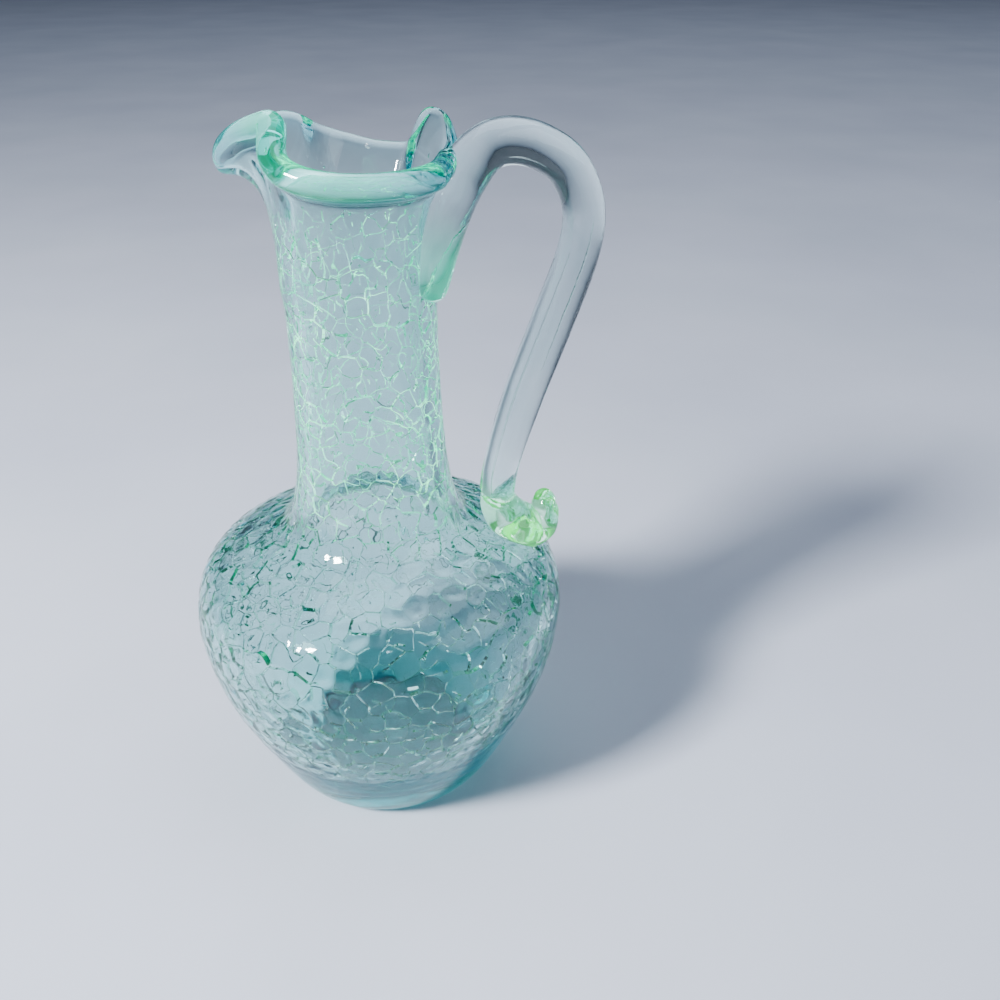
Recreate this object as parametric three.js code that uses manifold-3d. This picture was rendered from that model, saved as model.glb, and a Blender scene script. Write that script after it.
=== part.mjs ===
// Small hand-blown crackle-glass pitcher in uranium glass.
// Two pieces of glass: a blown vessel with a pinched, ruffled mouth, and a solid rod handle.
// Millimetres, +Z up. The origin is the centre of the flat base, +X runs out to the handle's
// loop, and the spout points about 13 degrees off -X.
import * as THREE from "three";
import { mergeVertices } from "three/addons/utils/BufferGeometryUtils.js";
import Module from "manifold-3d";

// Driving dimensions
const BELLY_RADIUS = 37.3; // widest part of the body
const BELLY_HEIGHT = 43; // height of that widest part
const BASE_RADIUS = 19; // ground flat that the pitcher stands on
const SHOULDER_HEIGHT = 62; // where the shoulder turns into the neck
const NECK_RADIUS = 13.6; // outside of the neck at its narrowest
const NECK_TOP = 110; // where the neck starts to open into the mouth
const NECK_FLARE = 0.4; // how much wider the neck is there than at its narrowest
const RIM_HEIGHT = 129.6; // lowest part of the rim
const RIM_RADIUS = 16.3; // middle of the rim's thickness, where it is neither pinched nor pulled
const WALL = 3; // thickness of the blown wall
const RIM_THICKNESS = 4; // fire-polished bead round the mouth
const FLOOR_HEIGHT = 8; // inside floor above the table, over a thick bottom
const FLOOR_FILLET = 6; // height over the inside floor where the round of the floor begins
const GAP = 0.3; // clearance between the handle's pads and the vessel

const AROUND = 64; // divisions round the axis
const CROWD = 0.175; // how far they crowd towards the spout and the lobe, in radians
const BODY_STEPS = 26;
const MOUTH_RISES = [0.2, 0.4, 0.6, 0.8, 1]; // rows of the mouth, from the neck's top to the rim
const BEAD_TURNS = [45, 90, 135]; // rows of the rim's rounded bead, in degrees from outside to inside
const DEGREE = Math.PI / 180;

// The mouth's flare: the power of a plain flare, and the power that squares the spout's bend.
const FLARE = { plain: 3.5, square: 0.75 };

// Things done to the mouth with the pincers, each at an angle from +X round the axis.
const SPOUT = { at: 167 * DEGREE, pull: 5.6, width: 20 * DEGREE, flatness: 3.5 };
const SPOUT_DROOP = { height: 9.4, width: 16 * DEGREE };
const SPOUT_RISE = { height: 9, width: 54 * DEGREE };
const SPOUT_PINCH = { apart: 37 * DEGREE, depth: 3.2, width: 15 * DEGREE };
const SPOUT_FOLD = { at: 208 * DEGREE, height: 2.4, width: 13 * DEGREE };
const BACK_LOBE = { at: 34 * DEGREE, pull: 1, pullWidth: 30 * DEGREE, height: 6.6 };
const LOBE_STEEP = { width: 14 * DEGREE, power: 3 };
const LOBE_GENTLE = { width: 36 * DEGREE, power: 2 };
const LOBE_PINCH = { at: 74 * DEGREE, depth: 1.6, width: 14 * DEGREE };

// Handle: centre line [x, y, z], then half its width across and half its thickness.
const HANDLE = [
  [12.2, -7.6, 108.4, 2.4, 1.9], // blunt tip of the tail on the neck
  [12.8, -7.2, 111.5, 4.6, 2.8],
  [14.0, -6.6, 117.5, 5.7, 3.5],
  [15.8, -5.6, 123.5, 5.8, 4.0], // pad under the rim
  [18.3, -4.6, 128.8, 5.1, 4.3],
  [22.4, -3.1, 133.0, 4.2, 4.0],
  [27.3, -1.6, 133.8, 4.0, 3.9], // top of the loop
  [32.6, -0.2, 132.1, 3.9, 3.8],
  [37.2, 1.2, 128.3, 3.9, 3.8],
  [40.0, 2.0, 121.5, 3.8, 3.8],
  [39.2, 1.8, 113.5, 3.9, 3.9],
  [34.6, 0.4, 101.0, 4.0, 4.0], // straight leg
  [29.2, -1.1, 87.0, 3.9, 3.9],
  [25.1, -2.3, 73.6, 3.5, 3.5],
  [24.4, -2.5, 66.0, 3.8, 3.7],
  [26.4, -2.0, 61.2, 5.0, 4.3],
  [29.8, -1.2, 58.6, 5.4, 4.2], // foot pressed on the shoulder
  [32.8, -0.5, 57.8, 4.9, 3.7],
  [34.3, 0.0, 60.7, 3.8, 2.8],
  [33.7, 0.2, 63.6, 2.8, 2.4],
  [32.6, 0.2, 65.3, 1.3, 1.2], // curled tip
];
const HANDLE_TIP = 0.6; // how far each rounded tip stands beyond its last section
const HANDLE_STEPS = 64;
const HANDLE_SIDES = 18;

// 1 at the middle, falling smoothly to 0 about a width away; a higher power has a flatter top.
function bump(angle, width, power = 2) {
  return Math.exp(-Math.pow(Math.abs(angle / width), power));
}

// The turn from one direction to another, between -180 and 180 degrees.
function turn(angle, from) {
  return Math.atan2(Math.sin(angle - from), Math.cos(angle - from));
}

// Radius and height of the middle of the rim in one direction.
function rimAt(angle) {
  const s = turn(angle, SPOUT.at);
  const b = turn(angle, BACK_LOBE.at);
  const lobe = b > 0 ? LOBE_STEEP : LOBE_GENTLE;
  const pinches = [-1, 1].map((side) => bump(s + side * SPOUT_PINCH.apart, SPOUT_PINCH.width));
  const radius =
    RIM_RADIUS +
    SPOUT.pull * bump(s, SPOUT.width, SPOUT.flatness) -
    SPOUT_PINCH.depth * (pinches[0] + pinches[1]) +
    BACK_LOBE.pull * bump(b, BACK_LOBE.pullWidth) -
    LOBE_PINCH.depth * bump(turn(angle, LOBE_PINCH.at), LOBE_PINCH.width);
  const height =
    RIM_HEIGHT +
    SPOUT_RISE.height * bump(s, SPOUT_RISE.width) -
    SPOUT_DROOP.height * bump(s, SPOUT_DROOP.width) +
    SPOUT_FOLD.height * bump(turn(angle, SPOUT_FOLD.at), SPOUT_FOLD.width) +
    BACK_LOBE.height * bump(b, lobe.width, lobe.power);
  return { radius, height };
}

// Middle of the glass between the neck's top (rise 0) and the rim (rise 1). It leaves the neck
// upright and flares near the top; towards the spout, where the rim is pulled far out, the flare
// grows into a squared quarter ellipse that ends almost level.
function mouthMiddle(angle, rise) {
  const rim = rimAt(angle);
  const neck = NECK_RADIUS + NECK_FLARE - WALL / 2;
  const flare = rim.radius - neck;
  const level = Math.pow(flare / (RIM_RADIUS + SPOUT.pull - neck), 2);
  const t = (rise * Math.PI) / 2;
  const bent = { out: 1 - Math.pow(Math.cos(t), FLARE.square), up: Math.pow(Math.sin(t), FLARE.square) };
  const out = THREE.MathUtils.lerp(Math.pow(rise, FLARE.plain), bent.out, level);
  const up = THREE.MathUtils.lerp(rise, bent.up, level);
  const radius = neck + flare * out;
  const height = NECK_TOP + (rim.height - NECK_TOP) * up;
  return new THREE.Vector3(radius * Math.cos(angle), radius * Math.sin(angle), height);
}

// Direction out of the glass at a place on that middle surface, and the direction up along it.
function mouthFrame(angle, rise) {
  const step = 0.01;
  const low = Math.max(0, rise - step);
  const high = Math.min(1, rise + step);
  const up = mouthMiddle(angle, high).sub(mouthMiddle(angle, low)).normalize();
  const round = mouthMiddle(angle + step, rise).sub(mouthMiddle(angle - step, rise));
  return { up, out: round.cross(up).normalize() };
}

// Outside of the body and neck, as radius and height, from the base's edge to the neck's top.
function bodyCurve() {
  const neckRise = NECK_TOP - SHOULDER_HEIGHT;
  return new THREE.SplineCurve(
    [
      [BASE_RADIUS, 0],
      [BASE_RADIUS + 3, 1.4],
      [BASE_RADIUS + 6.2, 6],
      [BASE_RADIUS + 10.6, 15],
      [BELLY_RADIUS - 3.1, BELLY_HEIGHT - 17],
      [BELLY_RADIUS - 0.5, BELLY_HEIGHT - 7],
      [BELLY_RADIUS, BELLY_HEIGHT + 2],
      [BELLY_RADIUS - 2.4, BELLY_HEIGHT + 9],
      [BELLY_RADIUS - 7.7, SHOULDER_HEIGHT - 5.8],
      [BELLY_RADIUS - 13.9, SHOULDER_HEIGHT - 3.1],
      [NECK_RADIUS + 5, SHOULDER_HEIGHT - 0.4],
      [NECK_RADIUS + 2.6, SHOULDER_HEIGHT + 4],
      [NECK_RADIUS + 1, SHOULDER_HEIGHT + neckRise * 0.27],
      [NECK_RADIUS + 0.2, SHOULDER_HEIGHT + neckRise * 0.56],
      [NECK_RADIUS, SHOULDER_HEIGHT + neckRise * 0.85],
      [NECK_RADIUS + NECK_FLARE, NECK_TOP],
    ].map(([r, z]) => new THREE.Vector2(r, z)),
  );
}

// Section of the vessel as stations: on the body {r, z}, in the mouth {rise, offset, over},
// where offset is out of the middle surface and over is how far past the rim's middle.
function vesselSection(grow) {
  const curve = bodyCurve();
  const outer = [];
  const inner = [];
  for (let i = 0; i <= BODY_STEPS; i++) {
    const at = curve.getPointAt(i / BODY_STEPS);
    const along = curve.getTangentAt(i / BODY_STEPS);
    outer.push({ r: at.x + along.y * grow, z: at.y - along.x * grow });
    const thick = WALL + grow;
    const wall = { r: at.x - along.y * thick, z: at.y + along.x * thick };
    if (wall.z > FLOOR_HEIGHT + FLOOR_FILLET) inner.unshift(wall);
  }
  const half = (rise) => THREE.MathUtils.lerp(WALL, RIM_THICKNESS, rise) / 2 + grow;
  const up = MOUTH_RISES.map((rise) => ({ rise, offset: half(rise), over: 0 }));
  const bead = BEAD_TURNS.map((turned) => ({
    rise: 1,
    offset: half(1) * Math.cos(turned * DEGREE),
    over: half(1) * Math.sin(turned * DEGREE),
  }));
  const down = MOUTH_RISES.map((rise) => ({ rise, offset: -half(rise), over: 0 })).reverse();
  return { outer, up, bead, down, inner };
}

// Turns a closed list of stations into a closed surface of rings round the axis.
function ringsToGeometry(stations, bottom, top) {
  const positions = [];
  const index = [];
  // Directions crowd together towards the spout and the lobe, where the rim bends hardest.
  for (const s of stations) {
    for (let k = 0; k < AROUND; k++) {
      const even = (2 * Math.PI * k) / AROUND;
      const angle = even - CROWD * Math.sin(2 * (even - BACK_LOBE.at / 2));
      const p = new THREE.Vector3();
      if (s.rise === undefined) {
        p.set(s.r * Math.cos(angle), s.r * Math.sin(angle), s.z);
      } else {
        const frame = mouthFrame(angle, s.rise);
        p.copy(mouthMiddle(angle, s.rise)).addScaledVector(frame.out, s.offset);
        p.addScaledVector(frame.up, s.over);
      }
      positions.push(p.x, p.y, p.z);
    }
  }
  const rings = stations.length;
  for (let i = 0; i < rings - 1; i++) {
    for (let k = 0; k < AROUND; k++) {
      const a = i * AROUND + k;
      const b = i * AROUND + ((k + 1) % AROUND);
      index.push(a, b, b + AROUND, a, b + AROUND, a + AROUND);
    }
  }
  positions.push(0, 0, bottom, 0, 0, top);
  const first = rings * AROUND;
  const last = (rings - 1) * AROUND;
  for (let k = 0; k < AROUND; k++) {
    const next = (k + 1) % AROUND;
    index.push(first, next, k);
    index.push(first + 1, last + k, last + next);
  }
  return indexed(positions, index);
}

function indexed(positions, index) {
  const geometry = new THREE.BufferGeometry();
  geometry.setAttribute("position", new THREE.Float32BufferAttribute(positions, 3));
  geometry.setIndex(index);
  return geometry;
}

// The blown vessel: flat base, outer wall, mouth, inner wall and a domed inside floor.
function vesselGeometry() {
  const s = vesselSection(0);
  const floor = [
    { r: BASE_RADIUS + 3, z: FLOOR_HEIGHT + 2.2 },
    { r: BASE_RADIUS - 4, z: FLOOR_HEIGHT - 0.6 },
    { r: BASE_RADIUS - 12, z: FLOOR_HEIGHT - 0.2 },
  ];
  const stations = [...s.outer, ...s.up, ...s.bead, ...s.down, ...s.inner, ...floor];
  return ringsToGeometry(stations, 0, FLOOR_HEIGHT);
}

// The vessel grown by the gap and filled up to the mouth, which the handle is cut back from.
function vesselKeepout() {
  const s = vesselSection(GAP);
  return ringsToGeometry([...s.outer, ...s.up, ...s.bead, ...s.down], -GAP, NECK_TOP);
}

// A rod of changing oval section along the handle's centre line, closed at both tips.
function rodGeometry() {
  const centre = new THREE.CatmullRomCurve3(
    HANDLE.map(([x, y, z]) => new THREE.Vector3(x, y, z)),
    false,
    "catmullrom",
    0.5,
  );
  const sizes = new THREE.SplineCurve(HANDLE.map((h) => new THREE.Vector2(h[3], h[4])));
  const positions = [];
  const index = [];
  for (let i = 0; i <= HANDLE_STEPS; i++) {
    const t = i / HANDLE_STEPS;
    const at = centre.getPoint(t);
    const along = centre.getTangent(t);
    const size = sizes.getPoint(t);
    const across = new THREE.Vector3(0, 1, 0).addScaledVector(along, -along.y).normalize();
    const out = new THREE.Vector3().crossVectors(across, along);
    for (let k = 0; k < HANDLE_SIDES; k++) {
      const a = (2 * Math.PI * k) / HANDLE_SIDES;
      const p = at.clone().addScaledVector(across, size.x * Math.cos(a));
      p.addScaledVector(out, size.y * Math.sin(a));
      positions.push(p.x, p.y, p.z);
    }
  }
  for (let i = 0; i < HANDLE_STEPS; i++) {
    for (let k = 0; k < HANDLE_SIDES; k++) {
      const a = i * HANDLE_SIDES + k;
      const b = i * HANDLE_SIDES + ((k + 1) % HANDLE_SIDES);
      index.push(a, b + HANDLE_SIDES, b, a, a + HANDLE_SIDES, b + HANDLE_SIDES);
    }
  }
  const tips = [0, 1].map((t) => {
    const end = centre.getPoint(t).addScaledVector(centre.getTangent(t), t ? HANDLE_TIP : -HANDLE_TIP);
    positions.push(end.x, end.y, end.z);
    return positions.length / 3 - 1;
  });
  const last = HANDLE_STEPS * HANDLE_SIDES;
  for (let k = 0; k < HANDLE_SIDES; k++) {
    const next = (k + 1) % HANDLE_SIDES;
    index.push(tips[0], k, next);
    index.push(tips[1], last + next, last + k);
  }
  return indexed(positions, index);
}

const wasm = await Module();
wasm.setup();

function toSolid(geometry) {
  const merged = mergeVertices(geometry, 1e-3);
  return new wasm.Manifold(
    new wasm.Mesh({
      numProp: 3,
      vertProperties: merged.attributes.position.array,
      triVerts: new Uint32Array(merged.index.array),
    }),
  );
}

function toGeometry(solid) {
  const mesh = solid.getMesh();
  return indexed(Array.from(mesh.vertProperties), Array.from(mesh.triVerts));
}

// The rod cut back to the vessel's surface, keeping the one large piece.
function handleGeometry() {
  const pieces = toSolid(rodGeometry()).subtract(toSolid(vesselKeepout())).decompose();
  pieces.sort((a, b) => b.volume() - a.volume());
  return toGeometry(pieces[0]);
}

function part(name, geometry, color, roughness) {
  const material = new THREE.MeshStandardMaterial({ color, roughness, metalness: 0 });
  const mesh = new THREE.Mesh(geometry, material);
  mesh.name = name;
  return mesh;
}

const pitcher = new THREE.Group();
pitcher.add(part("vessel", vesselGeometry(), 0xa9d6c4, 0.08));
pitcher.add(part("handle", handleGeometry(), 0xb4d8d2, 0.04));

export default pitcher;
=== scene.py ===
"""Hand-blown crackle-glass pitcher in uranium glass: the finished look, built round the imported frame.

Sizes below are in millimetres and repeat the CAD's driving dimensions; meshes are written in metres.
"""

import math
import random

import bpy
import numpy as np
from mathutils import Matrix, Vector, noise
from mathutils.kdtree import KDTree


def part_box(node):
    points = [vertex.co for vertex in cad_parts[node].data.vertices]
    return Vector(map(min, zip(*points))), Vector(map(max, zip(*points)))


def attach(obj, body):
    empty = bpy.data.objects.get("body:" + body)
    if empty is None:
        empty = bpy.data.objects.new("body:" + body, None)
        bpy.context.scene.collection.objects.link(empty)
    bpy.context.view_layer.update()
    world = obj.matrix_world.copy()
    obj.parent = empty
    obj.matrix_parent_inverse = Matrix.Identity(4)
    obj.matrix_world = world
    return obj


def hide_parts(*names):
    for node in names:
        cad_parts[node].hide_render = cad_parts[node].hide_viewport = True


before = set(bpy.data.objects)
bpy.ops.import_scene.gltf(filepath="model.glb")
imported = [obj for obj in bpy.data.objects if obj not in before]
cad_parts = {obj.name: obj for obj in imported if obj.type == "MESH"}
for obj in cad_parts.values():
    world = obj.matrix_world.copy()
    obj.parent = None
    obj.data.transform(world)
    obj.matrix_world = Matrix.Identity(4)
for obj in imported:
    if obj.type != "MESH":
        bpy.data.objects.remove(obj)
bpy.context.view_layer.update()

MM = 0.001
DEGREE = math.pi / 180

# Body and neck
vessel_low, vessel_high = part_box("vessel")
BELLY_RADIUS = (vessel_high.y - vessel_low.y) / 2 / MM
BELLY_HEIGHT = 43.0
BASE_RADIUS = 19.0
SHOULDER_HEIGHT = 62.0
NECK_RADIUS = 13.6
NECK_FLARE = 0.4
NECK_TOP = 110.0
RIM_HEIGHT = 129.6
RIM_RADIUS = 16.3
WALL = 3.0
LIP_THICKNESS = 2.5  # the plain lip at the back and along the spout
BEAD_THICKNESS = 4.6  # the rolled bead along the front
BEAD_REACH = 1.8  # how far down the glass the rim's bead stands proud
BEAD_SIDE = 270 * DEGREE
FLOOR_HEIGHT = 8.0
FLOOR_FILLET = 6.0

# The mouth, pinched and pulled: each angle is from +X round the axis
PLAIN_FLARE, SQUARE_FLARE = 3.5, 0.75
SPOUT_AT, SPOUT_PULL, SPOUT_WIDTH, SPOUT_FLATNESS = 167 * DEGREE, 5.6, 20 * DEGREE, 3.5
SPOUT_DROOP, SPOUT_DROOP_WIDTH = 9.4, 16 * DEGREE
SPOUT_RISE, SPOUT_RISE_WIDTH = 9.0, 54 * DEGREE
PINCH_APART, PINCH_DEPTH, PINCH_WIDTH = 37 * DEGREE, 3.2, 15 * DEGREE
FOLD_AT, FOLD_HEIGHT, FOLD_WIDTH = 208 * DEGREE, 2.4, 13 * DEGREE
LOBE_AT, LOBE_PULL, LOBE_PULL_WIDTH, LOBE_HEIGHT = 34 * DEGREE, 1.0, 30 * DEGREE, 6.6
LOBE_STEEP, LOBE_GENTLE = (14 * DEGREE, 3.0), (36 * DEGREE, 2.0)  # width and power of each slope
LOBE_PINCH_AT, LOBE_PINCH_DEPTH, LOBE_PINCH_WIDTH = 74 * DEGREE, 1.6, 14 * DEGREE

# Crackle
CRACKLE_LOW, CRACKLE_HIGH = (11.0, 24.0), (118.0, 126.0)  # heights it fades in and out over
CELL_NECK, CELL_BODY = 5.0, 5.2  # distance between the cracks
VALLEY_NECK, VALLEY_BODY = 0.04, 0.11  # how far each cell's edges sink
VALLEY_WIDTH = 1.2
BODY_CRACK_DEPTH = 1.7  # how much deeper the body's cracks go than the neck's
GLOW_SIDE = 232 * DEGREE  # the side of the rim where the painted glow is strongest
CELL_LIFT = 0.35  # how much one cell stands above the next, as a share of the valleys

# Mesh resolution
AROUND = 340
BODY_ROWS = 196
MOUTH_ROWS = 24
BEAD_ROWS = 9
INNER_ROWS = 36

# Handle: centre line x, y, z, then half its width across and half its thickness
HANDLE = np.array([
    [12.2, -7.6, 108.4, 2.4, 1.9],
    [12.8, -7.2, 111.5, 4.6, 2.8],
    [14.0, -6.6, 117.5, 5.7, 3.5],
    [15.8, -5.6, 123.5, 5.8, 4.0],
    [18.3, -4.6, 128.8, 5.1, 4.3],
    [22.4, -3.1, 133.0, 4.2, 4.0],
    [27.3, -1.6, 133.8, 4.0, 3.9],
    [32.6, -0.2, 132.1, 3.9, 3.8],
    [37.2, 1.2, 128.3, 3.9, 3.8],
    [40.0, 2.0, 121.5, 3.8, 3.8],
    [39.2, 1.8, 113.5, 3.9, 3.9],
    [34.6, 0.4, 101.0, 4.0, 4.0],
    [29.2, -1.1, 87.0, 3.9, 3.9],
    [25.1, -2.3, 73.6, 3.5, 3.5],
    [24.4, -2.5, 66.0, 3.8, 3.7],
    [26.4, -2.0, 61.2, 5.0, 4.3],
    [29.8, -1.2, 58.6, 5.4, 4.2],
    [32.8, -0.5, 57.8, 4.9, 3.7],
    [34.3, 0.0, 60.7, 3.8, 2.8],
    [33.7, 0.2, 63.6, 2.8, 2.4],
    [32.6, 0.2, 65.3, 1.3, 1.2],
])
HANDLE_ROWS = 420
HANDLE_SIDES = 48
SEAM = 0.02  # the handle's pads lie this close to the vessel
# Pincer marks on the foot: distance from the curled tip, width, and depth as a share
CRIMPS = [(3.6, 0.5, 0.14), (8.8, 0.9, 0.16), (22.5, 1.3, 0.07)]
PIT, PIT_RADIUS, PIT_DEPTH = np.array([28.9, -4.9, 62.6]), 1.7, 0.7  # pressed in where the rod was cut
PIT_FACING = np.array([-0.1, -0.84, 0.53])
# Drawn-out bubbles: where they start and end along the handle, place in the section, radius
AIR_LINES = [
    (0.50, 0.66, -0.25, 0.35, 0.16),
    (0.55, 0.70, 0.10, 0.20, 0.10),
    (0.46, 0.58, 0.35, -0.30, 0.08),
    (0.28, 0.36, -0.30, 0.45, 0.12),
]


# ---- Formulas of the shape ------------------------------------------------------------------

def bump(angle, width, power=2.0):
    return np.exp(-np.abs(angle / width) ** power)


def turn(angle, start):
    return np.arctan2(np.sin(angle - start), np.cos(angle - start))


def smooth_step(x, low, high):
    t = np.clip((x - low) / (high - low), 0, 1)
    return t * t * (3 - 2 * t)


def mix(a, b, share):
    return a + (b - a) * share


def rim_at(angle):
    """Radius and height of the middle of the rim in each direction."""
    s = turn(angle, SPOUT_AT)
    b = turn(angle, LOBE_AT)
    radius = RIM_RADIUS + SPOUT_PULL * bump(s, SPOUT_WIDTH, SPOUT_FLATNESS)
    for side in (-1, 1):
        radius = radius - PINCH_DEPTH * bump(s + side * PINCH_APART, PINCH_WIDTH)
    radius = radius + LOBE_PULL * bump(b, LOBE_PULL_WIDTH)
    radius = radius - LOBE_PINCH_DEPTH * bump(turn(angle, LOBE_PINCH_AT), LOBE_PINCH_WIDTH)
    height = RIM_HEIGHT + SPOUT_RISE * bump(s, SPOUT_RISE_WIDTH) - SPOUT_DROOP * bump(s, SPOUT_DROOP_WIDTH)
    height = height + FOLD_HEIGHT * bump(turn(angle, FOLD_AT), FOLD_WIDTH)
    lobe = np.where(b > 0, bump(b, *LOBE_STEEP), bump(b, *LOBE_GENTLE))
    height = height + LOBE_HEIGHT * lobe
    return radius, height


def mouth_middle(angle, rise):
    """Middle of the glass between the neck's top (rise 0) and the rim (rise 1)."""
    rim_radius, rim_height = rim_at(angle)
    neck = NECK_RADIUS + NECK_FLARE - WALL / 2
    flare = rim_radius - neck
    level = (flare / (RIM_RADIUS + SPOUT_PULL - neck)) ** 2
    t = rise * math.pi / 2
    out = mix(rise**PLAIN_FLARE, 1 - np.cos(t) ** SQUARE_FLARE, level)
    up = mix(rise, np.sin(t) ** SQUARE_FLARE, level)
    radius = neck + flare * out
    height = NECK_TOP + (rim_height - NECK_TOP) * up
    return np.stack([radius * np.cos(angle), radius * np.sin(angle), height], axis=-1)


def unit(v):
    return v / np.maximum(np.linalg.norm(v, axis=-1, keepdims=True), 1e-12)


def mouth_frame(angle, rise):
    """Directions up along the glass and out of it."""
    step = 0.01
    up = unit(mouth_middle(angle, min(1, rise + step)) - mouth_middle(angle, max(0, rise - step)))
    round_ = mouth_middle(angle + step, rise) - mouth_middle(angle - step, rise)
    return up, unit(np.cross(round_, up))


def mouth_half(angle, rise):
    """Half the glass's thickness in the mouth: a thinning wall, then the rim's proud bead."""
    down = (1 - rise) * (RIM_HEIGHT - NECK_TOP)
    front = smooth_step(np.cos(angle - BEAD_SIDE), -0.25, 0.35)
    bead = (BEAD_THICKNESS - LIP_THICKNESS) * front * bump(down, BEAD_REACH, 2.6)
    return ((mix(WALL, LIP_THICKNESS, rise) + bead) / 2)[:, None]


def mouth_rises():
    """Rows of the mouth, crowded together towards the bead."""
    return 1 - (1 - np.linspace(0, 1, MOUTH_ROWS + 1)[1:]) ** 1.6


def catmull(points, samples, reach_past_ends):
    """Uniform Catmull-Rom curve through the points, at parameters from 0 to 1."""
    n = len(points) - 1
    first = 2 * points[0] - points[1] if reach_past_ends else points[0]
    last = 2 * points[-1] - points[-2] if reach_past_ends else points[-1]
    padded = np.vstack([first, points, last])
    place = np.clip(np.asarray(samples) * n, 0, n)
    i = np.minimum(place.astype(int), n - 1)
    t = (place - i)[:, None]
    p0, p1, p2, p3 = (padded[i + k] for k in range(4))
    v0, v1 = (p2 - p0) / 2, (p3 - p1) / 2
    return (2 * p1 - 2 * p2 + v0 + v1) * t**3 + (-3 * p1 + 3 * p2 - 2 * v0 - v1) * t**2 + v0 * t + p1


def body_rows(count):
    """Evenly spaced radius, height and outward normal of the body's outside, base to neck top."""
    rise = NECK_TOP - SHOULDER_HEIGHT
    points = np.array([
        [BASE_RADIUS, 0],
        [BASE_RADIUS + 3, 1.4],
        [BASE_RADIUS + 6.2, 6],
        [BASE_RADIUS + 10.6, 15],
        [BELLY_RADIUS - 3.1, BELLY_HEIGHT - 17],
        [BELLY_RADIUS - 0.5, BELLY_HEIGHT - 7],
        [BELLY_RADIUS, BELLY_HEIGHT + 2],
        [BELLY_RADIUS - 2.4, BELLY_HEIGHT + 9],
        [BELLY_RADIUS - 7.7, SHOULDER_HEIGHT - 5.8],
        [BELLY_RADIUS - 13.9, SHOULDER_HEIGHT - 3.1],
        [NECK_RADIUS + 5, SHOULDER_HEIGHT - 0.4],
        [NECK_RADIUS + 2.6, SHOULDER_HEIGHT + 4],
        [NECK_RADIUS + 1, SHOULDER_HEIGHT + rise * 0.27],
        [NECK_RADIUS + 0.2, SHOULDER_HEIGHT + rise * 0.56],
        [NECK_RADIUS, SHOULDER_HEIGHT + rise * 0.85],
        [NECK_RADIUS + NECK_FLARE, NECK_TOP],
    ])
    fine = catmull(points, np.linspace(0, 1, 1500), False)
    length = np.concatenate([[0], np.cumsum(np.linalg.norm(np.diff(fine, axis=0), axis=1))])
    along = np.linspace(0, length[-1], count)
    place = np.stack([np.interp(along, length, fine[:, k]) for k in (0, 1)], axis=1)
    direction = unit(np.gradient(place, axis=0))
    normal = np.stack([direction[:, 1], -direction[:, 0]], axis=1)
    return place, normal


def ring(radius, height, angle):
    return np.stack([radius * np.cos(angle), radius * np.sin(angle), np.full_like(angle, height)], axis=-1)


def directions():
    """Directions round the axis, crowded together towards the spout and the lobe."""
    even = np.linspace(0, 2 * math.pi, AROUND, endpoint=False)
    return even - 0.175 * np.sin(2 * (even - LOBE_AT / 2))


def outer_surface():
    """The vessel's smooth outside as rows of points with normals, from the base's edge to the rim."""
    angle = directions()
    place, normal = body_rows(BODY_ROWS)
    points = [ring(r, z, angle) for r, z in place]
    normals = [unit(ring(nr, nz, angle)) for nr, nz in normal]
    for rise in mouth_rises():
        _, out = mouth_frame(angle, rise)
        points.append(mouth_middle(angle, rise) + out * mouth_half(angle, rise))
        normals.append(out)
    return np.array(points), np.array(normals)


# ---- Crackle --------------------------------------------------------------------------------

def crackle_share(height):
    return smooth_step(height, *CRACKLE_LOW) * (1 - smooth_step(height, *CRACKLE_HIGH))


def valley_depth(height):
    return mix(VALLEY_BODY, VALLEY_NECK, smooth_step(height, 55, 70))


def wobble(points, size, reach, seed):
    """Moves points by smooth noise, so that the cracks between cells wander."""
    moved = np.empty_like(points)
    offset = Vector((seed * 7.3, seed * 3.1, seed * 5.7))
    for i, p in enumerate(points):
        shift = noise.noise_vector(Vector(p) / size + offset)
        moved[i] = p + np.array(shift) * reach
    return moved


def scatter_sites(points, spacing_scale, seed):
    """Cell centres spread over the surface, no closer together than the cell size."""
    chooser = random.Random(seed)
    flat = points[:, ::2].reshape(-1, 3)
    order = list(range(len(flat)))
    chooser.shuffle(order)
    bucket_size = CELL_BODY * spacing_scale
    buckets = {}
    sites = []
    for i in order:
        p = flat[i]
        if p[2] > CRACKLE_HIGH[1]:
            continue
        share = smooth_step(p[2], 55, 66)
        spacing = mix(CELL_BODY, CELL_NECK, share) * spacing_scale * chooser.uniform(0.5, 1.0)
        key = tuple(int(math.floor(c / bucket_size)) for c in p)
        near = (
            q
            for dx in (-1, 0, 1)
            for dy in (-1, 0, 1)
            for dz in (-1, 0, 1)
            for q in buckets.get((key[0] + dx, key[1] + dy, key[2] + dz), ())
        )
        if all(np.dot(p - q, p - q) > spacing**2 for q in near):
            sites.append(p)
            buckets.setdefault(key, []).append(p)
    return np.array(sites)


def nearest_cells(points, sites):
    """For each point, its cell and how far it is from the border with the next cell."""
    tree = KDTree(len(sites))
    for i, s in enumerate(sites):
        tree.insert(s, i)
    tree.balance()
    cell = np.empty(len(points), int)
    border = np.empty(len(points))
    for i, p in enumerate(points):
        (near, a, da), (far, b, db) = tree.find_n(p, 2)
        cell[i] = a
        border[i] = (db * db - da * da) / (2 * max((near - far).length, 1e-6))
    return cell, border


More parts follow.
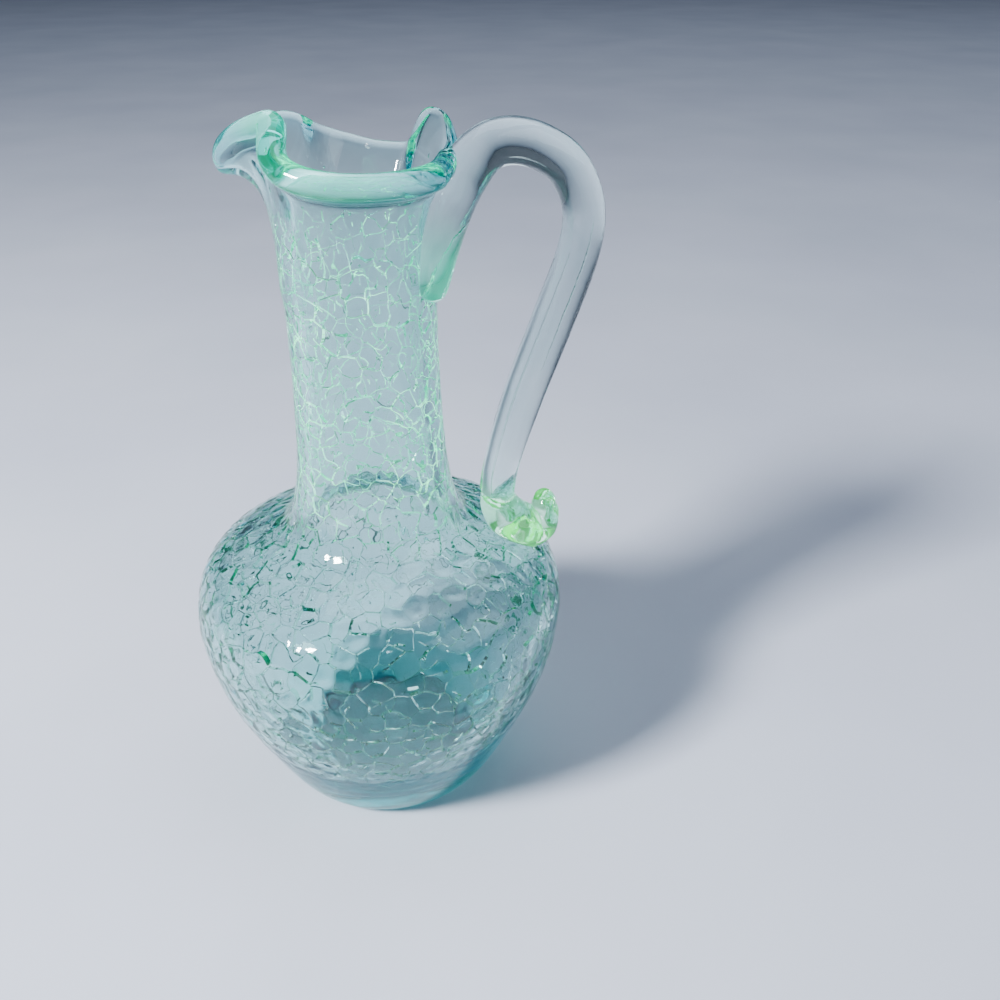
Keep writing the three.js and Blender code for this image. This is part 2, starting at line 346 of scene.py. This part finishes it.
def crack_lines(points, normals, warped, cell, sites, keep, seed):
    """Every kept crack as short spans between two places on the surface, each with its frame."""
    rows, around = cell.shape
    chooser = random.Random(seed)
    pair_facts = {}

    def facts(pair):
        if pair not in pair_facts:
            pair_facts[pair] = (
                chooser.random(),
                chooser.uniform(-0.4, 0.4),
                chooser.uniform(0.10, 0.28),
                chooser.uniform(0.02, 0.06),
            )
        return pair_facts[pair]

    def crossing(p, q):
        i, j = cell[p], cell[q]
        fp = np.sum((warped[p] - sites[i]) ** 2) - np.sum((warped[p] - sites[j]) ** 2)
        fq = np.sum((warped[q] - sites[i]) ** 2) - np.sum((warped[q] - sites[j]) ** 2)
        t = 0.5 if fp == fq else min(1, max(0, fp / (fp - fq)))
        return points[p] * (1 - t) + points[q] * t, normals[p] * (1 - t) + normals[q] * t

    spans = []
    for r in range(rows - 1):
        same = (cell[r] == np.roll(cell[r], -1)) & (cell[r] == cell[r + 1])
        same &= cell[r] == np.roll(cell[r + 1], -1)
        for k in np.flatnonzero(~same):
            k2 = (k + 1) % around
            corners = [(r, k), (r, k2), (r + 1, k2), (r + 1, k)]
            found = []
            for p, q in zip(corners, corners[1:] + corners[:1]):
                if cell[p] != cell[q]:
                    pair = tuple(sorted((cell[p], cell[q])))
                    place, normal = crossing(p, q)
                    found.append((pair, place, normal))
            if len(found) == 2 and found[0][0] == found[1][0]:
                links = [(found[0], found[1])]
            else:
                middle = sum(f[1] for f in found) / len(found)
                normal = sum(f[2] for f in found) / len(found)
                links = [(f, (f[0], middle, normal)) for f in found]
            for (pair, a, na), (_, b, nb) in links:
                lot, tilt, depth, width = facts(pair)
                if lot < keep(a[2]):
                    side = sites[pair[1]] - sites[pair[0]]
                    spans.append((a, na, b, nb, side, tilt, depth, width))
    return spans


def crack_wedges(spans):
    """Thin wedges of air: open at the surface side, closing to an edge inside the wall."""
    points, faces = [], []
    for a, na, b, nb, side, tilt, depth, width in spans:
        start = len(points)
        for p, n in ((a, na), (b, nb)):
            n = unit(n)
            deeper = mix(BODY_CRACK_DEPTH, 1, smooth_step(p[2], 55, 70))
            share = float(crackle_share(p[2]))
            s = unit(side - n * np.dot(side, n))
            top = p - n * (valley_depth(p[2]) + 0.08)
            reach = WALL * depth * deeper
            deep = top - n * reach * mix(0.3, 1, share) + s * tilt * reach
            half = s * width * mix(0.3, 1, share) / 2
            points += [top - half, top + half, deep]
        i = start
        faces += [(i, i + 1, i + 4, i + 3), (i, i + 3, i + 5, i + 2), (i + 1, i + 2, i + 5, i + 4)]
    return np.array(points), faces


# ---- Meshes ---------------------------------------------------------------------------------

def make_piece(name, points, faces, material, smooth=True):
    mesh = bpy.data.meshes.new(name)
    mesh.from_pydata((np.asarray(points) * MM).tolist(), [], faces)
    mesh.validate()
    mesh.update()
    if smooth:
        mesh.shade_smooth()
    mesh.materials.append(material)
    piece = bpy.data.objects.new(name, mesh)
    bpy.context.scene.collection.objects.link(piece)
    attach(piece, "root")
    return piece


def paint(piece, name, values):
    """Gives the piece a number at each point, for its material to read."""
    layer = piece.data.attributes.new(name, "FLOAT", "POINT")
    layer.data.foreach_set("value", np.asarray(values, dtype=np.float32))


def ring_faces(rows, around):
    return [
        (i * around + k, i * around + (k + 1) % around, (i + 1) * around + (k + 1) % around, (i + 1) * around + k)
        for i in range(rows - 1)
        for k in range(around)
    ]


def vessel_rows(outer, normals, sunk):
    """Rows of the whole closed vessel: outside, rim bead, inside wall, floor."""
    angle = directions()
    rows = list(outer + normals * sunk[..., None])
    up, out = mouth_frame(angle, 1)
    middle = mouth_middle(angle, 1)
    for k in range(1, BEAD_ROWS + 1):
        turned = math.pi * k / (BEAD_ROWS + 1)
        rows.append(middle + (out * math.cos(turned) + up * math.sin(turned)) * mouth_half(angle, 1))
    for rise in mouth_rises()[::-1]:
        _, out = mouth_frame(angle, rise)
        rows.append(mouth_middle(angle, rise) - out * mouth_half(angle, rise))
    place, normal = body_rows(INNER_ROWS)
    inner = (place - normal * WALL)[::-1]
    rows += [ring(r, z, angle) for r, z in inner if z > FLOOR_HEIGHT + FLOOR_FILLET]
    for r, z in ((BASE_RADIUS + 3, 2.2), (BASE_RADIUS - 4, -0.6), (BASE_RADIUS - 12, -0.2), (1.0, 0.0)):
        rows.append(ring(r, FLOOR_HEIGHT + z, angle))
    for r, z in ((2.0, 0.9), (8.0, 1.0), (13.0, 0.75), (15.5, 0.25), (17.0, 0.0)):
        rows.append(ring(r, z, angle))
    return np.array(rows)


def make_vessel(material):
    outer, normals = outer_surface()
    flat = outer.reshape(-1, 3)
    warped = wobble(flat, 3.2, 1.1, 1)
    sites = scatter_sites(outer, 1.0, 11)
    cell, border = nearest_cells(warped, sites)
    share = crackle_share(outer[..., 2])
    lift = np.array([random.Random(int(c)).uniform(-CELL_LIFT, CELL_LIFT) for c in cell]).reshape(share.shape)
    crown = smooth_step(border.reshape(share.shape), 0, VALLEY_WIDTH)
    sunk = share * valley_depth(outer[..., 2]) * ((1 + lift) * crown - 1)
    rows = vessel_rows(outer, normals, sunk)
    count, around, _ = rows.shape
    floor_row = count - 6
    faces = ring_faces(floor_row + 1, around)
    last = count - 1
    for i in range(floor_row + 1, last):
        faces += [
            (i * around + k, i * around + (k + 1) % around, (i + 1) * around + (k + 1) % around, (i + 1) * around + k)
            for k in range(around)
        ]
    # The underside's ring joins the outside's first row, and each flat centre closes with one face.
    faces += [(last * around + k, last * around + (k + 1) % around, (k + 1) % around, k) for k in range(around)]
    faces.append(tuple(floor_row * around + k for k in range(around)))
    faces.append(tuple((floor_row + 1) * around + k for k in reversed(range(around))))
    piece = make_piece("pitcher_vessel", rows.reshape(-1, 3), faces, material)
    # Painted glow, read as emission: strongest along the rim bead on the GLOW_SIDE and weaker at the spout, with a
    # fainter painted glow low on the thick bottom.
    rise = np.arange(count)
    edge = bump(rise - BODY_ROWS - MOUTH_ROWS - BEAD_ROWS / 2, BEAD_ROWS * 1.1, 4)
    left = 0.5 + 0.5 * np.cos(directions() - GLOW_SIDE)
    bottom = (rise < BODY_ROWS)[:, None] * (1 - smooth_step(rows[..., 2], 4, 26))
    lip = mix(0.08, 1.0, left**2) * (1 - 0.7 * bump(turn(directions(), SPOUT_AT), SPOUT_WIDTH, 4))
    painted_glow = edge[:, None] * lip[None, :] + 0.35 * bottom
    paint(piece, "painted_glow", painted_glow.ravel())
    paint(piece, "crackled", crackle_share(rows[..., 2]).ravel())
    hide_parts("vessel")

    grid = (outer.shape[0], around)
    spans = crack_lines(outer, normals, warped.reshape(outer.shape), cell.reshape(grid), sites, crack_keep, 21)
    fine_warp = wobble(flat, 1.9, 1.0, 2)
    fine_sites = scatter_sites(outer, 0.6, 12)
    fine_cell, _ = nearest_cells(fine_warp, fine_sites)
    spans += crack_lines(
        outer, normals, fine_warp.reshape(outer.shape), fine_cell.reshape(grid), fine_sites, hairline_keep, 22
    )
    return spans


def crack_keep(height):
    return 0.9 * float(crackle_share(height))


def hairline_keep(height):
    return 0.2 * float(crackle_share(height))


def make_cracks(spans, material):
    points, faces = crack_wedges(spans)
    piece = make_piece("crackle_cracks", points, faces, material, smooth=False)
    height = points[:, 2]
    # Painted glow on the cracks: faint on the body, full on the neck.
    paint(piece, "painted_glow", mix(0.08, 1.0, smooth_step(height, 58, 75)))
    return piece


def vessel_reach(angle, height, tables={}):
    """Radius of the vessel's outside at a direction and height."""
    if not tables:
        angles = np.linspace(-math.pi, math.pi, 361)
        heights = np.linspace(0, 142, 570)
        place, _ = body_rows(400)
        rises = np.linspace(0, 1, 60)
        columns = np.empty((len(heights), len(angles)))
        mouth = np.array([
            mouth_middle(angles, u) + mouth_frame(angles, u)[1] * mouth_half(angles, u) for u in rises
        ])
        for k in range(len(angles)):
            r = np.concatenate([place[:, 0], np.hypot(mouth[1:, k, 0], mouth[1:, k, 1])])
            z = np.concatenate([place[:, 1], mouth[1:, k, 2]])
            z = np.maximum.accumulate(z)
            columns[:, k] = np.interp(heights, z, r, right=0)
        tables["value"] = (angles, heights, columns)
    angles, heights, columns = tables["value"]
    a = np.clip((turn(angle, 0) + math.pi) / (2 * math.pi) * 360, 0, 359.999)
    h = np.clip(height / 142 * 569, 0, 568.999)
    i, j = h.astype(int), a.astype(int)
    u, v = h - i, a - j
    low = mix(columns[i, j], columns[i, j + 1], v)
    high = mix(columns[i + 1, j], columns[i + 1, j + 1], v)
    return mix(low, high, u)


def handle_frames(samples):
    """Centre, half sizes and the two directions across the rod at places along the handle."""
    centre = catmull(HANDLE[:, :3], samples, True)
    sizes = catmull(HANDLE[:, 3:], samples, False)
    along = unit(np.gradient(centre, axis=0))
    across = unit(np.array([0.0, 1.0, 0.0]) - along * along[:, 1:2])
    return centre, sizes, across, np.cross(across, along)


def rod_points(centre, across, out, wide, thick, sides):
    a = np.linspace(0, 2 * math.pi, sides, endpoint=False)
    points = centre[:, None, :] + across[:, None, :] * (wide[:, None] * np.cos(a))[..., None]
    return points + out[:, None, :] * (thick[:, None] * np.sin(a))[..., None]


def rod_faces(rows, sides, start=0):
    faces = [tuple(start + v for v in reversed(f)) for f in ring_faces(rows, sides)]
    last = start + (rows - 1) * sides
    faces.append(tuple(range(start, start + sides)))
    faces.append(tuple(last + k for k in reversed(range(sides))))
    return faces


def lengths_along(centre):
    return np.concatenate([[0], np.cumsum(np.linalg.norm(np.diff(centre, axis=0), axis=1))])


def make_handle(material):
    centre, sizes, across, out = handle_frames(np.linspace(0, 1, HANDLE_ROWS))
    length = lengths_along(centre)
    left = length[-1] - length
    rounded = np.sqrt(1 - (1 - np.minimum(length / 1.6, 1)) ** 2) * np.sqrt(1 - (1 - np.minimum(left / 1.2, 1)) ** 2)
    crimp = 1 - sum(depth * bump(left - place, width) for place, width, depth in CRIMPS)
    points = rod_points(centre, across, out, sizes[:, 0] * rounded, sizes[:, 1] * rounded * crimp, HANDLE_SIDES)
    radius = np.hypot(points[..., 0], points[..., 1])
    reach = vessel_reach(np.arctan2(points[..., 1], points[..., 0]), points[..., 2]) + SEAM
    pushed = np.maximum(radius, reach) / np.maximum(radius, 1e-6)
    points[..., :2] *= pushed[..., None]
    pressed = PIT_DEPTH * bump(np.linalg.norm(points - PIT, axis=-1), PIT_RADIUS, 4)
    points -= pressed[..., None] * PIT_FACING
    piece = make_piece("pitcher_handle", points.reshape(-1, 3), rod_faces(HANDLE_ROWS, HANDLE_SIDES), material)
    # Painted glow masks for the curled tail and the foot, read as emission by the handle's material.
    tail = 1 - smooth_step(length, 5, 17)
    foot = 1 - smooth_step(left, 20, 27)
    paint(piece, "tail", np.repeat(tail, HANDLE_SIDES))
    paint(piece, "foot", np.repeat(foot, HANDLE_SIDES))
    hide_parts("handle")
    return piece


def make_air_lines(material):
    """Hair-thin bubbles drawn out along the handle when the rod was pulled."""
    points, faces = [], []
    for start, end, aside, outside, radius in AIR_LINES:
        samples = np.linspace(start, end, 60)
        centre, sizes, across, out = handle_frames(samples)
        centre = centre + across * sizes[:, :1] * aside + out * sizes[:, 1:] * outside
        taper = radius * np.sqrt(np.sin(np.linspace(0.02, math.pi - 0.02, len(samples))))
        faces += rod_faces(len(samples), 8, len(points))
        points += rod_points(centre, across, out, taper, taper, 8).reshape(-1, 3).tolist()
    piece = make_piece("handle_air_lines", points, faces, material)
    return piece


def make_bubbles(material):
    """Small bubbles caught in the smooth collar under the rim and in the neck."""
    chooser = random.Random(5)
    points, faces = [], []
    for _ in range(90):
        angle = chooser.uniform(0, 2 * math.pi)
        rise = chooser.uniform(0.05, 0.9)
        if chooser.random() < 0.55:
            centre = mouth_middle(np.array([angle]), rise)[0]
        else:
            height = chooser.uniform(70, 110)
            radius = float(vessel_reach(np.array([angle]), np.array([height]))[0]) - WALL / 2
            centre = np.array([radius * math.cos(angle), radius * math.sin(angle), height])
        size = chooser.uniform(0.08, 0.26)
        stretch = chooser.uniform(1, 2.2)
        start = len(points)
        rings, sides = 6, 10
        for i in range(1, rings):
            t = math.pi * i / rings
            for k in range(sides):
                u = 2 * math.pi * k / sides
                points.append(centre + size * np.array([
                    math.sin(t) * math.cos(u), math.sin(t) * math.sin(u), math.cos(t) * stretch
                ]))
        points += [centre + [0, 0, size * stretch], centre - [0, 0, size * stretch]]
        top, bottom = len(points) - 2, len(points) - 1
        for i in range(rings - 2):
            for k in range(sides):
                p, q = start + i * sides + k, start + i * sides + (k + 1) % sides
                faces.append((p, p + sides, q + sides, q))
        for k in range(sides):
            faces.append((top, start + k, start + (k + 1) % sides))
            low = start + (rings - 2) * sides
            faces.append((bottom, low + (k + 1) % sides, low + k))
    piece = make_piece("glass_bubbles", np.array(points), faces, material)
    return piece


# ---- Materials ------------------------------------------------------------------------------

class Nodes:
    """A material's node tree, with short calls to add and join nodes."""

    def __init__(self, name):
        self.material = bpy.data.materials.new(name)
        self.material.use_nodes = True
        self.tree = self.material.node_tree
        self.shader = self.tree.nodes["Principled BSDF"]
        self.output = self.tree.nodes["Material Output"]

    def add(self, kind, links=(), values=(), **settings):
        node = self.tree.nodes.new(kind)
        for key, value in settings.items():
            setattr(node, key, value)
        for key, value in dict(values).items():
            node.inputs[key].default_value = value
        for key, source in dict(links).items():
            self.tree.links.new(source, node.inputs[key])
        return node

    def join(self, source, key):
        self.tree.links.new(source, self.shader.inputs[key])

    def ramp(self, source, *stops):
        node = self.add("ShaderNodeValToRGB", {"Fac": source})
        elements = node.color_ramp.elements
        while len(elements) < len(stops):
            elements.new(0.5)
        for element, (position, color) in zip(elements, stops):
            element.position = position
            element.color = (*color, 1)
        return node.outputs["Color"]

    def spread(self, source, low, high):
        return self.add(
            "ShaderNodeMapRange", {"Value": source}, {"To Min": low, "To Max": high}
        ).outputs["Result"]

    def math(self, operation, a, b):
        node = self.add("ShaderNodeMath", {0: a}, operation=operation)
        if isinstance(b, (int, float)):
            node.inputs[1].default_value = b
        else:
            self.tree.links.new(b, node.inputs[1])
        return node.outputs[0]

    def attribute(self, name):
        return self.add("ShaderNodeAttribute", attribute_name=name).outputs["Fac"]


def glass(name, ior, tint, density):
    """Clear glass: tint is what a thick piece lets through."""
    n = Nodes(name)
    n.shader.inputs["Transmission Weight"].default_value = 1
    n.shader.inputs["IOR"].default_value = ior
    if density:
        volume = n.add("ShaderNodeVolumeAbsorption", values={"Color": (*tint, 1), "Density": density})
        n.tree.links.new(volume.outputs["Volume"], n.output.inputs["Volume"])
    return n


def object_place(n, stretch):
    coordinates = n.add("ShaderNodeTexCoord")
    return n.add(
        "ShaderNodeMapping", {"Vector": coordinates.outputs["Object"]}, {"Scale": stretch}
    ).outputs["Vector"]


# Emission colours of the painted glow on the vessel and handle.
MINT = (0.02, 0.80, 0.34)
AQUA = (0.03, 0.42, 0.62)
YELLOW_GREEN = (0.13, 0.75, 0.16)
TEAL = (0.01, 0.75, 0.45)


def vessel_glass():
    n = glass("vessel_glass", 1.5, (0.30, 0.78, 0.80), 85)
    streaks = n.add(
        "ShaderNodeTexNoise", {"Vector": object_place(n, (60, 60, 22))}, {"Scale": 1.0, "Detail": 4, "Distortion": 0.8}
    ).outputs["Fac"]
    n.join(n.ramp(streaks, (0.3, (0.84, 0.97, 0.95)), (0.7, (0.95, 1.0, 0.99))), "Base Color")
    mottle = n.add(
        "ShaderNodeTexNoise", {"Vector": object_place(n, (400, 400, 400))}, {"Scale": 1.0, "Detail": 3}
    ).outputs["Fac"]
    n.join(n.spread(mottle, 0.0, 0.05), "Roughness")
    ripple = n.add(
        "ShaderNodeTexNoise", {"Vector": object_place(n, (160, 160, 90))}, {"Scale": 1.0, "Detail": 2}
    ).outputs["Fac"]
    shell = n.add("ShaderNodeBump", {"Height": ripple}, {"Strength": 0.25, "Distance": 0.0006})
    n.join(shell.outputs["Normal"], "Normal")
    # Painted glow: emission from the painted mask, aqua where faint and mint where strong, varied by the streaks.
    painted_glow = n.attribute("painted_glow")
    n.join(n.ramp(painted_glow, (0.2, AQUA), (0.75, MINT)), "Emission Color")
    n.join(n.math("MULTIPLY", painted_glow, n.spread(streaks, 0.3, 0.8)), "Emission Strength")
    return n.material


def handle_glass():
    n = glass("handle_glass", 1.5, (0.50, 0.84, 0.84), 30)
    streaks = n.add(
        "ShaderNodeTexNoise", {"Vector": object_place(n, (420, 420, 30))}, {"Scale": 1.0, "Detail": 3}
    ).outputs["Fac"]
    n.join(n.ramp(streaks, (0.3, (0.88, 0.97, 0.97)), (0.7, (0.97, 1.0, 0.99))), "Base Color")
    n.join(n.spread(streaks, 0.0, 0.04), "Roughness")
    shell = n.add("ShaderNodeBump", {"Height": streaks}, {"Strength": 0.2, "Distance": 0.0004})
    n.join(shell.outputs["Normal"], "Normal")
    # Painted glow: teal on the tail, yellow-green on the foot.
    tail, foot = n.attribute("tail"), n.attribute("foot")
    color = n.add("ShaderNodeMix", {"Factor": foot}, data_type="RGBA")
    color.inputs["A"].default_value = (*TEAL, 1)
    color.inputs["B"].default_value = (*YELLOW_GREEN, 1)
    n.join(color.outputs["Result"], "Emission Color")
    lit = n.math("ADD", tail, foot)
    n.join(n.math("MULTIPLY", lit, n.spread(streaks, 0.1, 0.48)), "Emission Strength")
    return n.material


def crack_air():
    n = glass("crack_air", 1 / 1.5, (1, 1, 1), 0)
    lit = n.add(
        "ShaderNodeTexNoise", {"Vector": object_place(n, (130, 130, 130))}, {"Scale": 1.0, "Detail": 2}
    ).outputs["Fac"]
    n.join(n.ramp(lit, (0.35, (0.75, 1.0, 0.9)), (0.65, (0.95, 1.0, 0.98))), "Base Color")
    n.join(n.spread(lit, 0.0, 0.1), "Roughness")
    # Painted glow: mint emission on the cracks, set by their painted mask and the noise.
    n.join(n.ramp(lit, (0.35, (0.08, 0.85, 0.45)), (0.65, (0.30, 1.0, 0.55))), "Emission Color")
    n.join(n.math("MULTIPLY", n.attribute("painted_glow"), n.spread(lit, -0.3, 1.1)), "Emission Strength")
    return n.material


def floor_paint():
    n = Nodes("floor_paint")
    cloud = n.add("ShaderNodeTexNoise", {"Vector": object_place(n, (9, 9, 9))}, {"Scale": 1.0, "Detail": 5})
    n.join(n.ramp(cloud.outputs["Fac"], (0.3, (0.52, 0.56, 0.67)), (0.7, (0.58, 0.62, 0.73))), "Base Color")
    n.shader.inputs["Roughness"].default_value = 0.55
    return n.material


# ---- Stage ----------------------------------------------------------------------------------

def make_floor():
    size = 8.0
    mesh = bpy.data.meshes.new("floor")
    corners = [(-size, -size, 0), (size, -size, 0), (size, size, 0), (-size, size, 0)]
    mesh.from_pydata(corners, [], [(0, 1, 2, 3)])
    mesh.materials.append(floor_paint())
    floor = bpy.data.objects.new("floor", mesh)
    bpy.context.scene.collection.objects.link(floor)


def add_light(name, place, size, power, color):
    data = bpy.data.lights.new(name, "AREA")
    data.size = size
    data.energy = power
    data.color = color
    light = bpy.data.objects.new(name, data)
    light.location = place
    aim = Vector((0, 0, 0.06)) - Vector(place)
    light.rotation_mode = "QUATERNION"
    light.rotation_quaternion = aim.to_track_quat("-Z", "Y")
    bpy.context.scene.collection.objects.link(light)


def make_lights():
    add_light("key", (-0.50, -0.34, 0.55), 0.16, 19, (1.0, 0.99, 0.97))
    add_light("fill", (0.7, -0.3, 0.6), 0.7, 3, (0.86, 0.92, 1.0))
    add_light("overhead", (0.3, 0.8, 2.4), 2.2, 30, (0.86, 0.92, 1.0))
    world = bpy.data.worlds.new("studio")
    world.use_nodes = True
    world.node_tree.nodes["Background"].inputs["Color"].default_value = (0.50, 0.58, 0.72, 1)
    world.node_tree.nodes["Background"].inputs["Strength"].default_value = 0.24
    bpy.context.scene.world = world


def make_camera():
    data = bpy.data.cameras.new("camera")
    data.lens = 36
    data.sensor_width = 36
    data.clip_start = 0.01
    camera = bpy.data.objects.new("camera", data)
    camera.location = (0.00974, -0.1743, 0.1662)
    camera.rotation_euler = (59.65 * DEGREE, 0, -5 * DEGREE)
    bpy.context.scene.collection.objects.link(camera)
    bpy.context.scene.camera = camera


make_camera()
spans = make_vessel(vessel_glass())
air = crack_air()
make_cracks(spans, air)
make_bubbles(air)
make_air_lines(air)
make_handle(handle_glass())
make_floor()
make_lights()

scene = bpy.context.scene
scene.cycles.use_denoising = True
scene.cycles.max_bounces = 24
scene.cycles.transmission_bounces = 20
scene.cycles.glossy_bounces = 8
scene.cycles.transparent_max_bounces = 16
scene.view_settings.view_transform = "AgX"
scene.view_settings.look = "AgX - Medium High Contrast"
scene.view_settings.exposure = -0.55
